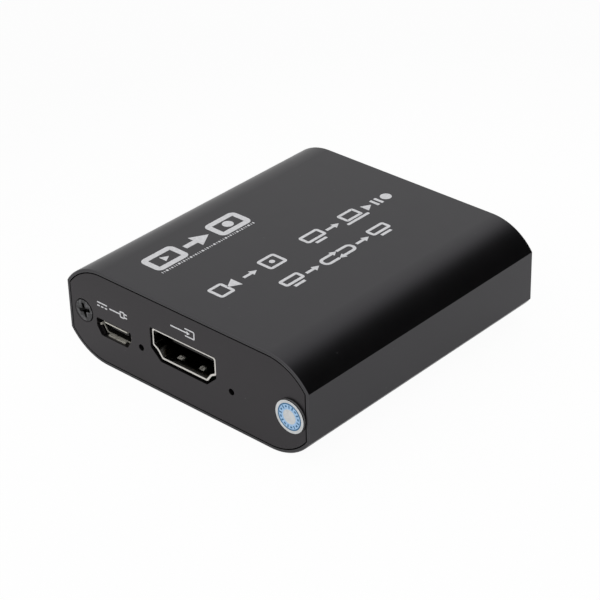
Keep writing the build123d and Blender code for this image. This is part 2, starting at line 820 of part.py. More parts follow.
# Small board parts: a list gives the middles of the pieces, or the first of each row along x
crystal_place_shares = [(0.43, -0.166), (-0.53, -0.13)]
crystal_base = (5.0, 3.2, 0.5)
crystal_lid = (4.5, 2.7, 0.6)
inductor_place_shares = [(-0.85, -0.44), (-0.6, -0.44)]
inductor_side = 4.0
inductor_height = 2.1
inductor_bevel = 0.6
can_place_shares = [(-0.85, -0.2), (0.71, -0.55)]
can_diameter = 4.0
can_height = 5.2
can_base_side = 4.3
can_base_height = 0.6
can_base_bevel = 0.9
array_size = (2.5, 1.0, 0.5)
array_spacing = 3.0
array_gap = 0.9  # from a video socket's tails to its surge arrays
capacitor_size = (1.6, 0.8, 0.8)
resistor_size = (1.6, 0.8, 0.45)
row_spacing = 2.2
on_floor = (Align.CENTER, Align.CENTER, Align.MIN)
capacitor_row_shares = [(-0.15, 0.24), (-0.15, -0.277), (0.367, 0.288)]
capacitor_row_counts = [4, 4, 3]
resistor_row_shares = [(-0.15, -0.332), (-0.94, 0.185), (-0.895, 0.332), (0.665, 0.332)]
resistor_row_counts = [4, 2, 2, 3]


def on_board(places, rise=0):
    """Places on top of the board, or higher by rise."""
    return Locations(*[(x, y, board_top + rise) for x, y in places])


def row_places(first_shares, counts):
    """The middles of the pieces of each row."""
    starts = [board_place(shares) for shares in first_shares]
    return [(x + n * row_spacing, y) for (x, y), count in zip(starts, counts) for n in range(count)]


with BuildPart() as crystals:
    crystal_places = [board_place(shares) for shares in crystal_place_shares]
    with on_board(crystal_places):
        Box(*crystal_base, align=on_floor)
    with on_board(crystal_places, crystal_base[2]):
        Box(*crystal_lid, align=on_floor)
parts["crystals"] = crystals.part

with BuildPart() as power_inductors:
    with on_board([board_place(shares) for shares in inductor_place_shares]):
        Box(inductor_side, inductor_side, inductor_height, align=on_floor)
    chamfer(power_inductors.edges().filter_by(Axis.Z), inductor_bevel)
parts["power_inductors"] = power_inductors.part

with BuildPart() as bulk_capacitors:
    can_places = [board_place(shares) for shares in can_place_shares]
    for x, y in can_places:
        with BuildSketch(Plane(origin=(x, y, board_top))):
            Rectangle(can_base_side, can_base_side)
        base = extrude(amount=can_base_height)
        chamfer(base.edges().filter_by(Axis.Z).group_by(Axis.X)[-1], can_base_bevel)
    with on_board(can_places):
        Cylinder(can_diameter / 2, can_height, align=on_floor)
parts["bulk_capacitors"] = bulk_capacitors.part

with BuildPart() as surge_arrays:
    tails_end = video_length + video_foot_depth + video_tail_gap + video_tail
    for seat in (video_in_seat, video_out_seat):
        back = tails_end + array_gap + array_size[1] / 2
        for across in (-array_spacing / 2, array_spacing / 2):
            place = seat.from_local_coords((across, 0, -back))
            with on_board([(place.X, place.Y)]):
                Box(*array_size, align=on_floor)
parts["surge_arrays"] = surge_arrays.part

with BuildPart() as small_capacitors:
    with on_board(row_places(capacitor_row_shares, capacitor_row_counts)):
        Box(*capacitor_size, align=on_floor)
parts["small_capacitors"] = small_capacitors.part

with BuildPart() as small_resistors:
    with on_board(row_places(resistor_row_shares, resistor_row_counts)):
        Box(*resistor_size, align=on_floor)
parts["small_resistors"] = small_resistors.part


os.makedirs("parts", exist_ok=True)
for name, part in parts.items():
    part.label = name
    export_step(part, "parts/" + name + ".step")
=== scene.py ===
from math import pi, radians

import bmesh
import bpy
from mathutils import Matrix, Vector


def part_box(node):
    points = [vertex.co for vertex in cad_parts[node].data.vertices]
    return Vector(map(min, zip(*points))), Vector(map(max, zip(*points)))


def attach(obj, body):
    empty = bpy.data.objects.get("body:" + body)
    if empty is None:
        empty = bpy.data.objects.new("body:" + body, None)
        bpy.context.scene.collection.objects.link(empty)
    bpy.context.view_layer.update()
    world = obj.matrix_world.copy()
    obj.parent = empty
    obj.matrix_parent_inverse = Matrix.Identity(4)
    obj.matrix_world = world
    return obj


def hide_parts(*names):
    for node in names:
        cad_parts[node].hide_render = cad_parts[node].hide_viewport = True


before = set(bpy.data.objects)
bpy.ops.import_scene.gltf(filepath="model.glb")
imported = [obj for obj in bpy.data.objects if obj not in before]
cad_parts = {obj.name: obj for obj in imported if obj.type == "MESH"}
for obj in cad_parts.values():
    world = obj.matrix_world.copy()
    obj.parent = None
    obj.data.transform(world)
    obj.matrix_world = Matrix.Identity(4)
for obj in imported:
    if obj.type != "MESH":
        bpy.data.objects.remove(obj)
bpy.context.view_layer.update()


# Sleeve: one length of black anodised aluminium extrusion, bead-blasted before it was dyed. Its sawn
# ends are milled for the panels, and the blasting has eased every edge a little.
mm = 0.001
sleeve_edge = 0.04 * mm
sleeve_black = (0.0026, 0.0025, 0.0027)
sleeve_cast = (0.95, 0.92, 1.0)
sleeve_gloss = 0.5
sleeve_roughness = (0.275, 0.305)
handled_size = 4.0 * mm
blast_size = 0.14 * mm
blast_depth = 0.0011 * mm
dust_and_highlight_grey = (0.12, 0.12, 0.12)
dust_spacing = 2.6 * mm
dust_reach = (0.015, 0.03)  # of the spacing: where a speck starts to fade, and where it ends
bevel_highlight = 0.3  # of the way to the pale grey: how bright the painted highlight on the sleeve's end bevels is
# how bright the painted highlight on the flat end faces is, as a share of the pale grey
end_face_highlight = 0.09
bevel_facing = (0.2, 0.5)  # of facing an end squarely: from the sides of the sleeve to its end bevels
flat_facing = (0.8, 0.98)
flat_angle = radians(0.5)
sharp_angle = radians(20)
smooth_angle = radians(35)
weld = 0.0005 * mm


def finished_copy(node, edge, name):
    """A merged copy of a CAD node that stands for it, with its sharp edges eased by edge."""
    bm = bmesh.new()
    bm.from_mesh(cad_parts[node].data)
    bmesh.ops.remove_doubles(bm, verts=bm.verts, dist=weld)
    bmesh.ops.dissolve_limit(bm, angle_limit=flat_angle, verts=bm.verts, edges=bm.edges)
    sharp = [e for e in bm.edges if e.is_manifold and e.calc_face_angle(0) > sharp_angle]
    bmesh.ops.bevel(
        bm, geom=sharp, offset=edge, offset_type="OFFSET", segments=2, profile=0.5,
        affect="EDGES", clamp_overlap=True, material=-1,
    )
    bmesh.ops.remove_doubles(bm, verts=bm.verts, dist=weld)
    piece = new_piece(bm, name)
    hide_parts(node)
    return piece


def new_piece(bm, name):
    """Turns a bmesh into a smooth-shaded object that rides on the box's one body."""
    mesh = bpy.data.meshes.new(name)
    for face in bm.faces:
        face.smooth = True
    bm.to_mesh(mesh)
    bm.free()
    piece = bpy.data.objects.new(name, mesh)
    bpy.context.scene.collection.objects.link(piece)
    mesh.set_sharp_from_angle(angle=smooth_angle)
    weighted = piece.modifiers.new("weighted_normals", "WEIGHTED_NORMAL")
    weighted.keep_sharp = True
    weighted.weight = 100
    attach(piece, "root")
    return piece


def new_finish(name, colour, roughness, metallic=0.0):
    """A material whose shader has this colour, roughness and metal share."""
    material = bpy.data.materials.new(name)
    material.use_nodes = True
    shader = material.node_tree.nodes["Principled BSDF"]
    shader.inputs["Base Color"].default_value = (*colour, 1)
    shader.inputs["Roughness"].default_value = roughness
    shader.inputs["Metallic"].default_value = metallic
    return material


def noise(material, size, detail=2.0):
    """The grey output of a noise in object coordinates, whose lumps are about size across."""
    nodes, links = material.node_tree.nodes, material.node_tree.links
    place = nodes.new("ShaderNodeTexCoord")
    texture = nodes.new("ShaderNodeTexNoise")
    texture.inputs["Scale"].default_value = 1 / size
    texture.inputs["Detail"].default_value = detail
    links.new(place.outputs["Object"], texture.inputs["Vector"])
    return texture.outputs["Fac"]


def cells(material, size):
    """The distance from the nearest of many scattered points about size apart, as a share of size."""
    nodes, links = material.node_tree.nodes, material.node_tree.links
    place = nodes.new("ShaderNodeTexCoord")
    texture = nodes.new("ShaderNodeTexVoronoi")
    texture.inputs["Scale"].default_value = 1 / size
    links.new(place.outputs["Object"], texture.inputs["Vector"])
    return texture.outputs["Distance"]


def facing_ends(material):
    """How far a surface faces the front or the rear end of the box: 1 where it faces it squarely."""
    nodes, links = material.node_tree.nodes, material.node_tree.links
    place = nodes.new("ShaderNodeTexCoord")
    apart = nodes.new("ShaderNodeSeparateXYZ")
    size = nodes.new("ShaderNodeMath")
    size.operation = "ABSOLUTE"
    links.new(place.outputs["Normal"], apart.inputs["Vector"])
    links.new(apart.outputs["Y"], size.inputs[0])
    return size.outputs["Value"]


def joined(material, operation, first, second):
    """Two values put through one operation, such as their product or the greater of them."""
    node = material.node_tree.nodes.new("ShaderNodeMath")
    node.operation = operation
    material.node_tree.links.new(first, node.inputs[0])
    material.node_tree.links.new(second, node.inputs[1])
    return node.outputs["Value"]


def spread(material, value, low, high, start=0.3, end=0.7):
    """A value mapped from start and end to low and high. Most of a noise lies between 0.3 and 0.7."""
    node = material.node_tree.nodes.new("ShaderNodeMapRange")
    node.inputs["From Min"].default_value = start
    node.inputs["From Max"].default_value = end
    node.inputs["To Min"].default_value = low
    node.inputs["To Max"].default_value = high
    material.node_tree.links.new(value, node.inputs["Value"])
    return node.outputs["Result"]


def drive(material, socket, value):
    """Links a value to a socket of the material's shader."""
    shader = material.node_tree.nodes["Principled BSDF"]
    material.node_tree.links.new(value, shader.inputs[socket])


def tint(material, value, dark, light):
    """Drives the base colour between two colours."""
    node = material.node_tree.nodes.new("ShaderNodeMix")
    node.data_type = "RGBA"
    node.inputs["A"].default_value = (*dark, 1)
    node.inputs["B"].default_value = (*light, 1)
    material.node_tree.links.new(value, node.inputs["Factor"])
    drive(material, "Base Color", node.outputs["Result"])


def roughen(material, size, low, high, detail=2.0):
    """Lets the roughness wander between two values, in lumps about size across."""
    drive(material, "Roughness", spread(material, noise(material, size, detail), low, high))


def bump(material, height, depth):
    """Drives the normal with a height field that stands depth high."""
    node = material.node_tree.nodes.new("ShaderNodeBump")
    node.inputs["Strength"].default_value = 1.0
    node.inputs["Distance"].default_value = depth
    material.node_tree.links.new(height, node.inputs["Height"])
    drive(material, "Normal", node.outputs["Normal"])


def dust(material):
    """A little dust in the grain: 1 on a speck and 0 beside it."""
    return spread(material, cells(material, dust_spacing), 1.0, 0.0, *dust_reach)


def blasted_black(name, colour, cast, gloss, low, high):
    """Dyed anodising over blasted metal, with a violet cast in its shine and a fine grain."""
    finish = new_finish(name, colour, high)
    shader = finish.node_tree.nodes["Principled BSDF"]
    shader.inputs["Specular Tint"].default_value = (*cast, 1)
    shader.inputs["Specular IOR Level"].default_value = gloss
    roughen(finish, handled_size, low, high, detail=4.0)
    bump(finish, noise(finish, blast_size), blast_depth)
    return finish


def clothe(piece, material):
    """Gives a piece one material in place of what it had."""
    piece.data.materials.clear()
    piece.data.materials.append(material)


def dress(piece, material):
    """Gives a piece its one material."""
    clothe(piece, material)


sleeve_finish = blasted_black(
    "black_anodising", sleeve_black, sleeve_cast, sleeve_gloss, *sleeve_roughness,
)
end_facing = facing_ends(sleeve_finish)
# A painted highlight: the end faces and their bevels are paler the more squarely they face an end, and the
# dust specks lie over it.
to_bevel_highlight = spread(sleeve_finish, end_facing, 0.0, bevel_highlight, *bevel_facing)
to_end_face_highlight = spread(sleeve_finish, end_facing, 1.0, end_face_highlight / bevel_highlight, *flat_facing)
end_highlight = joined(sleeve_finish, "MULTIPLY", to_bevel_highlight, to_end_face_highlight)
dust_and_end_highlight = joined(sleeve_finish, "MAXIMUM", end_highlight, dust(sleeve_finish))
tint(sleeve_finish, dust_and_end_highlight, sleeve_black, dust_and_highlight_grey)
dress(finished_copy("sleeve_housing", sleeve_edge, "sleeve"), sleeve_finish)


# End panels: punched aluminium plates that sit in the milled ends of the sleeve, blasted and dyed
# with it. The two panel screws of each end hold it.
panel_edge = 0.05 * mm
panel_black = (0.0032, 0.003, 0.0033)
panel_cast = (1.0, 0.92, 0.99)
panel_gloss = 0.44
panel_roughness = (0.3, 0.33)

panel_finish = blasted_black("panel_anodising", panel_black, panel_cast, panel_gloss, *panel_roughness)
tint(panel_finish, dust(panel_finish), panel_black, dust_and_highlight_grey)
for node, name in (("front_panel", "front_plate"), ("rear_panel", "rear_plate")):
    dress(finished_copy(node, panel_edge, name), panel_finish)


# Panel screws: black oxide on steel, countersunk, with a cross recess. Handling has rubbed the flat
# of the head, and the recess below it is as black as it was.
screw_edge = 0.12 * mm
screw_black = (0.004, 0.004, 0.004)
screw_rubbed = (0.115, 0.115, 0.119)
screw_metal = 0.8
screw_roughness = (0.22, 0.4)
rub_depth = (0.06 * mm, 0.12 * mm)  # below the head's flat: where the rubbing fades, and where it ends
scuff_size = 0.9 * mm
scuff_rubbed = (0.36, 1.15)  # of screw_rubbed: beside a scuff and on it
scuff_noise = (0.5, 0.62)
oxide_size = 0.225 * mm
oxide_depth = 0.003 * mm


def from_plane(material, axis, level):
    """How far a point lies from the plane at a level of one axis."""
    nodes, links = material.node_tree.nodes, material.node_tree.links
    place = nodes.new("ShaderNodeTexCoord")
    apart = nodes.new("ShaderNodeSeparateXYZ")
    offset = nodes.new("ShaderNodeMath")
    offset.operation = "SUBTRACT"
    offset.inputs[1].default_value = level
    distance = nodes.new("ShaderNodeMath")
    distance.operation = "ABSOLUTE"
    links.new(place.outputs["Object"], apart.inputs["Vector"])
    links.new(apart.outputs[axis], offset.inputs[0])
    links.new(offset.outputs["Value"], distance.inputs[0])
    return distance.outputs["Value"]


def near_end(material, end_out, fading, gone):
    """1 from an end of the box at end_out from its middle to the depth fading, and 0 from gone on."""
    return spread(material, from_plane(material, "Y", 0.0), 0.0, 1.0, end_out - gone, end_out - fading)


screw_finish = new_finish("black_oxide", screw_black, screw_roughness[1], screw_metal)
head_out = -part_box("front_panel_screws")[0].y
head_flat = near_end(screw_finish, head_out, *rub_depth)
scuffs = spread(screw_finish, noise(screw_finish, scuff_size, detail=4.0), *scuff_rubbed, *scuff_noise)
tint(screw_finish, joined(screw_finish, "MULTIPLY", head_flat, scuffs), screw_black, screw_rubbed)
roughen(screw_finish, scuff_size, *screw_roughness)
bump(screw_finish, noise(screw_finish, oxide_size), oxide_depth)
for node, name in (("front_panel_screws", "front_screws"), ("rear_panel_screws", "rear_screws")):
    dress(finished_copy(node, screw_edge, name), screw_finish)


# Socket shells: strip steel, folded round a seam and nickel plated. Spring leaves are slit free in
# the walls, where plugs rub their tips, and the legs are soldered through the board. Deeper than a
# socket's mouth the plating carries a painted shade, and the video shells' leaf tips a painted glint.
shell_edge = 0.06 * mm
# Each shell's nickel: its own bright colour at the mouth, and a painted shade deeper in, which starts at
# fading and is full at gone.
video_nickel = {
    "bright": (0.74, 0.72, 0.68), "painted_shade": (0.13, 0.123, 0.11), "metal": 1.0,
    "fading": 0.3 * mm, "gone": 1.1 * mm,
}
power_nickel = {
    "bright": (0.64, 0.62, 0.55), "painted_shade": (0.02, 0.02, 0.018), "metal": 0.45,
    "fading": 0.8 * mm, "gone": 0.95 * mm,
}
data_nickel = {
    "bright": (0.7, 0.68, 0.64), "painted_shade": (0.3, 0.285, 0.26), "metal": 1.0,
    "fading": 1.0 * mm, "gone": 4.0 * mm,
}
plating_size = 0.8 * mm
plating_shine = (0.8, 1.0)
plating_roughness = (0.12, 0.24)
draw_size = 0.09 * mm
draw_depth = 0.0004 * mm
video_outer = 5.35 * mm  # the height of a video shell
video_inner = 4.6 * mm  # the height of its mouth
leaf_reach = 3.2 * mm  # across from a video shell's middle, where its bottom leaves lie
leaf_fade = 0.1 * mm
leaf_tip = (1.9 * mm, 2.2 * mm)  # from the mouth: where the painted glint on a leaf's tip fades, and where it ends
# The painted glint on the leaf tips: a paler, less metallic nickel, broken up by a fine grain.
leaf_glint = (0.72, 0.7, 0.64)
leaf_glint_metal = 0.4
glint_grain_size = 0.3 * mm
glint_grain_shine = (0.35, 1.0)
glint_grain_noise = (0.4, 0.6)

mouth_out = -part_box("video_in_shell")[0].y


def nickel_plate(name, bright, painted_shade, metal, fading, gone):
    """Nickel on drawn strip in its own bright colour near a socket's mouth, with a painted shade deeper in,
    where the light from the mouth is gone.
    """
    finish = new_finish(name, bright, plating_roughness[1], metal)
    near_mouth = near_end(finish, mouth_out, fading, gone)
    plating = spread(finish, noise(finish, plating_size, detail=3.0), *plating_shine)
    tint(finish, joined(finish, "MULTIPLY", near_mouth, plating), painted_shade, bright)
    roughen(finish, plating_size / 2, *plating_roughness, detail=3.0)
    bump(finish, noise(finish, draw_size), draw_depth)
    return finish


def paint_leaf_glints(finish, node):
    """Paints a glint on the tips of a video shell's spring leaves, where they stand in from its walls."""
    low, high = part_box(node)
    across = from_plane(finish, "X", (low.x + high.x) / 2)
    upward = from_plane(finish, "Z", high.z - video_outer / 2)
    on_leaves = spread(finish, across, 1.0, 0.0, leaf_reach, leaf_reach + leaf_fade)
    off_wall = spread(finish, upward, 1.0, 0.0, video_inner / 2 - leaf_fade, video_inner / 2)
    leaves = joined(finish, "MULTIPLY", on_leaves, off_wall)
    tips = near_end(finish, mouth_out, *leaf_tip)
    glint_grain = spread(finish, noise(finish, glint_grain_size, detail=4.0), *glint_grain_shine, *glint_grain_noise)
    glint_mask = joined(finish, "MULTIPLY", leaves, joined(finish, "MULTIPLY", tips, glint_grain))
    plated = finish.node_tree.nodes["Principled BSDF"].inputs["Base Color"].links[0].from_socket
    mix = finish.node_tree.nodes.new("ShaderNodeMix")
    mix.data_type = "RGBA"
    mix.inputs["B"].default_value = (*leaf_glint, 1)
    finish.node_tree.links.new(glint_mask, mix.inputs["Factor"])
    finish.node_tree.links.new(plated, mix.inputs["A"])
    drive(finish, "Base Color", mix.outputs["Result"])
    drive(finish, "Metallic", spread(finish, glint_mask, 1.0, leaf_glint_metal, 0.0, 1.0))


for socket in ("video_in", "video_out"):
    shell_finish = nickel_plate(f"{socket}_nickel", **video_nickel)
    paint_leaf_glints(shell_finish, f"{socket}_shell")
    shell = finished_copy(f"{socket}_shell", shell_edge, f"{socket}_plated_shell")
    dress(shell, shell_finish)
for socket, nickel in (("power", power_nickel), ("data", data_nickel)):
    shell = finished_copy(f"{socket}_socket_shell", shell_edge, f"{socket}_plated_shell")
    dress(shell, nickel_plate(f"{socket}_nickel", **nickel))


# Socket contacts: phosphor bronze strips flashed with gold, pressed into the mouldings. Their tails
# are soldered to the board.
gold_dark = (0.5, 0.34, 0.15)
gold_light = (0.66, 0.48, 0.22)
gold_roughness = (0.2, 0.32)
gold_size = 0.5 * mm


def mottle(material, size, dark, light, detail=2.0):
    """Lets the base colour wander between two colours, in lumps about size across."""
    tint(material, spread(material, noise(material, size, detail), 0.0, 1.0), dark, light)


gold = new_finish("gold_flash", gold_light, gold_roughness[1], metallic=1.0)
mottle(gold, gold_size, gold_dark, gold_light)
roughen(gold, gold_size / 2, *gold_roughness)
for socket in ("video_in", "video_out", "power_socket", "data_socket"):
    clothe(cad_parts[f"{socket}_contacts"], gold)


# Socket mouldings: glass-filled nylon, black in the video and power sockets and blue in the data
# socket. Each is a block behind the shell's mouth with a tongue for the contacts.
black_nylon_colours = ((0.004, 0.004, 0.004), (0.007, 0.007, 0.007))
black_nylon_roughness = (0.34, 0.46)
blue_nylon_colours = ((0.012, 0.1, 0.42), (0.018, 0.13, 0.5))
blue_nylon_roughness = (0.36, 0.5)
flow_size = 0.9 * mm
polish_size = 0.5 * mm
spark_size = 0.08 * mm
spark_depth = 0.0006 * mm


def moulded_skin(name, colour, low, high):
    """Moulded plastic of one colour, with a fine spark-eroded skin."""
    finish = new_finish(name, colour, high)
    roughen(finish, polish_size, low, high, detail=3.0)
    bump(finish, noise(finish, spark_size), spark_depth)
    return finish


def moulded(name, colours, roughness):
    """Moulded plastic with a faint flow mottle between two colours."""
    finish = moulded_skin(name, colours[0], *roughness)
    mottle(finish, flow_size, *colours, detail=3.0)
    return finish


black_nylon = moulded("black_nylon", black_nylon_colours, black_nylon_roughness)
blue_nylon = moulded("blue_nylon", blue_nylon_colours, blue_nylon_roughness)
for socket in ("video_in", "video_out", "power_socket"):
    clothe(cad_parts[f"{socket}_insulator"], black_nylon)
clothe(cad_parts["data_socket_insulator"], blue_nylon)


# Circuit board: glass-fibre laminate with copper tracks under green solder mask. It slides into the
# sleeve's rails, and the panels hold it there by its sockets.
mask_dark = (0.006, 0.035, 0.018)
mask_light = (0.016, 0.085, 0.042)
mask_roughness = (0.22, 0.34)
mask_size = 1.2 * mm
track_length = 6.4 * mm
track_spacing = 1.6 * mm
track_width = 0.25 * mm
track_height = 0.015 * mm
track_slope = 0.3

mask = new_finish("green_solder_mask", mask_dark, mask_roughness[1])
nodes, links = mask.node_tree.nodes, mask.node_tree.links
place = nodes.new("ShaderNodeTexCoord")
tracks = nodes.new("ShaderNodeTexBrick")
tracks.inputs["Scale"].default_value = 1.0
tracks.inputs["Brick Width"].default_value = track_length
tracks.inputs["Row Height"].default_value = track_spacing
tracks.inputs["Mortar Size"].default_value = track_width / 2
tracks.inputs["Mortar Smooth"].default_value = track_slope
links.new(place.outputs["Object"], tracks.inputs["Vector"])
tint(mask, tracks.outputs["Fac"], mask_dark, mask_light)
roughen(mask, mask_size, *mask_roughness, detail=3.0)
bump(mask, tracks.outputs["Fac"], track_height)
clothe(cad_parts["circuit_board"], mask)


# Chips, regulators and surge arrays: black epoxy moulded round a lead frame, with a fine matt skin.
# They are soldered to the top of the board.
epoxy_colours = ((0.012, 0.012, 0.012), (0.02, 0.02, 0.021))
epoxy_roughness = (0.5, 0.64)

epoxy = moulded("black_epoxy", epoxy_colours, epoxy_roughness)
for node in ("splitter_chip", "capture_chip", "memory_chip", "voltage_regulators", "surge_arrays"):
    clothe(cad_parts[node], epoxy)


# Resistors: chips of white ceramic with a resistive film, under the black glass coat that shows from
# above. They are soldered to the board by their ends.
glass_colours = ((0.008, 0.008, 0.009), (0.014, 0.014, 0.015))
glass_roughness = (0.2, 0.3)

glass_coat = moulded("black_glass_coat", glass_colours, glass_roughness)
clothe(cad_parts["small_resistors"], glass_coat)


# Crystals and bulk capacitors: drawn aluminium and steel cans, satin from the drawing, sealed at
# the bottom and soldered to the board.
can_dark = (0.6, 0.6, 0.61)
can_light = (0.74, 0.74, 0.75)
can_roughness = (0.24, 0.38)
can_size = 0.7 * mm
can_polish_size = 0.3 * mm
can_draw_size = 0.06 * mm
can_draw_depth = 0.0006 * mm

can = new_finish("drawn_can", can_light, can_roughness[1], metallic=1.0)
mottle(can, can_size, can_dark, can_light, detail=3.0)
roughen(can, can_polish_size, *can_roughness, detail=3.0)
bump(can, noise(can, can_draw_size), can_draw_depth)
for node in ("crystals", "bulk_capacitors"):
    clothe(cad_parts[node], can)


# Power inductors: pressed ferrite powder round a coil, with a rough dark grey skin. They smooth the
# supply of each regulator.
ferrite_colours = ((0.045, 0.045, 0.048), (0.075, 0.075, 0.08))
ferrite_roughness = (0.6, 0.8)

ferrite = moulded("pressed_ferrite", ferrite_colours, ferrite_roughness)
clothe(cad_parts["power_inductors"], ferrite)


# Small capacitors: fired tan ceramic chips, with a faint waxy shine. They stand in rows beside the
# chips that they serve.
ceramic_colours = ((0.34, 0.25, 0.17), (0.46, 0.36, 0.26))
ceramic_roughness = (0.4, 0.55)

ceramic = moulded("fired_ceramic", ceramic_colours, ceramic_roughness)
clothe(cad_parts["small_capacitors"], ceramic)


# Lights: small lamps of clear epoxy, soldered to the board behind the two pin holes of the front
# panel. One shows the power and the other the signal.
lamp_dark = (0.62, 0.67, 0.62)
lamp_light = (0.76, 0.8, 0.76)
lamp_roughness = (0.1, 0.2)
lamp_size = 0.6 * mm

lamp = new_finish("lamp_epoxy", lamp_light, lamp_roughness[1])
mottle(lamp, lamp_size, lamp_dark, lamp_light)
roughen(lamp, lamp_size / 2, *lamp_roughness)
for node in ("power_light", "signal_light"):
    clothe(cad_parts[node], lamp)


# Top print: light grey ink, pad printed on the sealed anodising. It reads from the front panel to
# the rear one, in plain picture signs for screen, camera, box, play, arrow and loop.
ink_film = 0.012 * mm
ink_dark = (0.61, 0.61, 0.63)
ink_light = (0.74, 0.74, 0.76)
ink_roughness = (0.42, 0.58)
ink_size = 0.5 * mm
bold_stroke = 1.15
bold_screen = 7.4
bold_arrow = 5.8
bold_row = {"left": -22.2, "right": 0.5, "low": 11.4, "high": 16.5}
tick_widths = (0.16, 0.16, 0.42, 0.16, 0.3) * 8
tick_share = 0.8  # of the height of its row
tick_row = {"left": -22.2, "right": 0.0, "low": 10.5, "high": 11.1}
line_stroke = 0.6
line_arrow = 3.2
line_head = 0.9
camera_wide = 5.4
small_box = 4.2
first_screen = 4.8
laptop_wide = 5.6
mark_tall = 2.1
pause_wide = 1.7
first_left_row = {"left": -21.7, "right": -5.7, "low": -2.5, "high": 1.2}
first_right_row = {"left": 0.5, "right": 22.7, "low": -2.5, "high": 1.2}
second_screen = 4.6
loop_wide = 8.0
second_row = {"left": -12.35, "right": 14.2, "low": -9.3, "high": -6.0}
corner_segments = 5
round_segments = 40


def stamp(target, sign, across=0.0, up=0.0, turn=0.0):
    """Adds a flat sign to another, turned and moved to its place, and frees it."""
    sign.transform(Matrix.Translation((across, up, 0)) @ Matrix.Rotation(turn, 4, "Z"))
    carrier = bpy.data.meshes.new("sign")
    sign.to_mesh(carrier)
    target.from_mesh(carrier)
    bpy.data.meshes.remove(carrier)
    sign.free()


def plate(wide, tall, corner=0.0):
    """A flat rectangle with its middle at the origin, with rounded corners."""
    sign = bmesh.new()
    stretch = Matrix.Diagonal((wide, tall, 1, 1))
    bmesh.ops.create_grid(sign, x_segments=1, y_segments=1, size=0.5, matrix=stretch)
    if corner:
        bmesh.ops.bevel(
            sign, geom=sign.verts[:], offset=corner, offset_type="OFFSET", segments=corner_segments,
            profile=0.5, affect="VERTICES", material=-1,
        )
    return sign


def disc(radius, sides=round_segments):
    """A flat disc or, with three sides, an arrowhead that points up."""
    sign = bmesh.new()
    bmesh.ops.create_circle(sign, cap_ends=True, radius=radius, segments=sides)
    return sign


def outlined(sign, stroke):
    """Leaves a line of this stroke along the edge of a flat sign."""
    inner = sign.faces[:]
    bmesh.ops.inset_region(sign, faces=inner, thickness=stroke, use_even_offset=True, use_boundary=True)
    bmesh.ops.delete(sign, geom=inner, context="FACES")
    return sign


def cut_left(sign, across):
    """Cuts away what lies left of a place."""
    whole = [*sign.verts, *sign.edges, *sign.faces]
    bmesh.ops.bisect_plane(sign, geom=whole, plane_co=(across, 0, 0), plane_no=(-1, 0, 0), clear_outer=True)
    return sign


def arrow(length, stroke, head):
    """An arrow that points along the reading direction, its head a triangle of radius head."""
    sign = bmesh.new()
    head_length = 1.5 * head
    shaft = length - head_length
    stamp(sign, plate(shaft, stroke), across=-head_length / 2)
    stamp(sign, disc(head, sides=3), across=length / 2 - head, turn=-pi / 2)
    return sign


def screen(wide, tall, stroke):
    """A screen above the line of its foot."""
    sign = bmesh.new()
    foot = 0.55 * wide
    foot_gap = 0.7 * stroke
    glass = outlined(plate(wide, tall - stroke - foot_gap, stroke), stroke)
    stamp(sign, glass, up=(stroke + foot_gap) / 2)
    stamp(sign, plate(foot, stroke), up=(stroke - tall) / 2)
    return sign


def laptop(wide, tall, stroke):
    """A small screen on a wider base."""
    sign = bmesh.new()
    lid_wide = 0.74 * wide
    lid_corner = 0.8 * stroke
    base_corner = stroke / 3
    hinge_gap = 0.5 * stroke
    lid = outlined(plate(lid_wide, tall - stroke - hinge_gap, lid_corner), stroke)
    stamp(sign, lid, up=(stroke + hinge_gap) / 2)
    stamp(sign, plate(wide, stroke, base_corner), up=(stroke - tall) / 2)
    return sign


def camera_sign(wide, tall, stroke):
    """A video camera: a body, and a lens hood that widens away from it."""
    sign = bmesh.new()
    hood = 0.42 * tall
    body = wide - 1.5 * hood + stroke / 2
    stamp(sign, outlined(plate(body, tall, stroke), stroke), across=(body - wide) / 2)
    stamp(sign, disc(hood, sides=3), across=wide / 2 - hood / 2, turn=pi / 2)
    return sign


def box_sign(wide, tall, stroke):
    """A box with a dot in it."""
    sign = bmesh.new()
    dot = 0.9 * stroke
    stamp(sign, outlined(plate(wide, tall, stroke), stroke))
    stamp(sign, disc(dot))
    return sign


def play_sign(wide, tall, stroke):
    """A screen with the triangle for play in it."""
    sign = bmesh.new()
    triangle = 0.36 * (tall - 2 * stroke)
    stamp(sign, outlined(plate(wide, tall, stroke), stroke))
    stamp(sign, disc(triangle, sides=3), turn=-pi / 2)
    return sign


def play_mark(tall):
    """The triangle for play, whose side is its radius times the root of three."""
    sign = bmesh.new()
    root_of_three = 1.732
    stamp(sign, disc(tall / root_of_three, sides=3), turn=-pi / 2)
    return sign


def pause_mark(wide, tall, stroke):
    """The two bars for pause."""
    sign = bmesh.new()
    for side in (-1, 1):
        stamp(sign, plate(stroke, tall), across=side * (wide - stroke) / 2)
    return sign


def loop_sign(wide, tall, stroke):
    """A closed track whose two long sides run into arrowheads."""
    sign = bmesh.new()
    head = tall / 4
    track = tall - head
    bend = 0.45 * track
    opening = 0.75 * head
    for side, turn in ((1, 0.0), (-1, pi)):
        half = cut_left(outlined(plate(wide, track, bend), stroke), opening)
        stamp(sign, half, turn=turn)
        point = disc(head, sides=3)
        stamp(sign, point, across=-side * head / 4, up=side * (track - stroke) / 2, turn=-side * pi / 2)
    return sign


